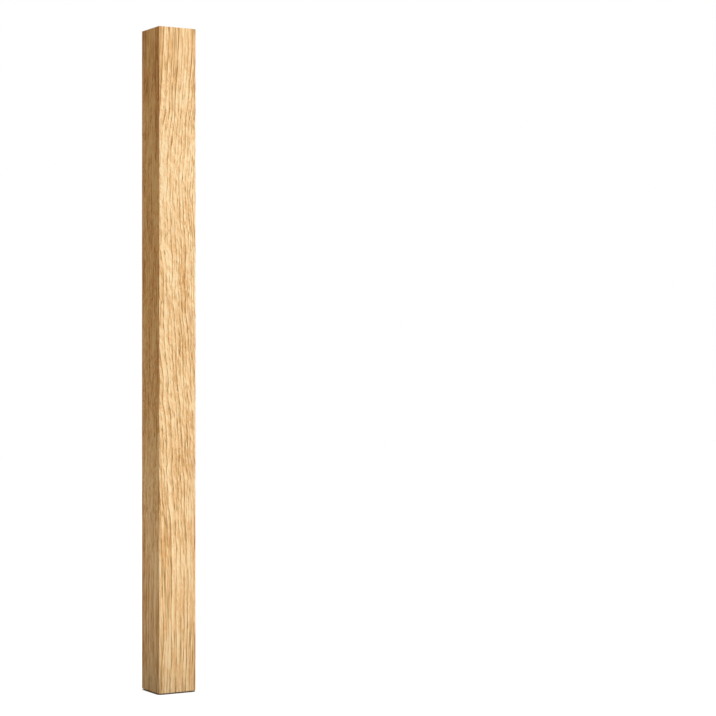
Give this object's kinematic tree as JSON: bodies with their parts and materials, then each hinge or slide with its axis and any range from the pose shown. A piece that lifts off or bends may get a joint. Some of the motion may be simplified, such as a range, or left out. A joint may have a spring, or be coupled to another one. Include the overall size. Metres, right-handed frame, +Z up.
{
  "type": "stair baluster",
  "caption": "Plain square stair baluster: a straight planed oak bar with eased edges and square-cut ends, to stand between a tread or base rail and the handrail.",
  "frame": {"origin": "centre of the bottom end face", "axes": "+Z up along the length towards the handrail end, X and Y square to the long faces"},
  "size_m": [0.055, 0.055, 0.9],
  "materials": {
    "oak": "planed and sanded oak with open grain and a light satin finish"
  },
  "bodies": {
    "root": {"baluster": "oak"}
  },
  "joints": []
}
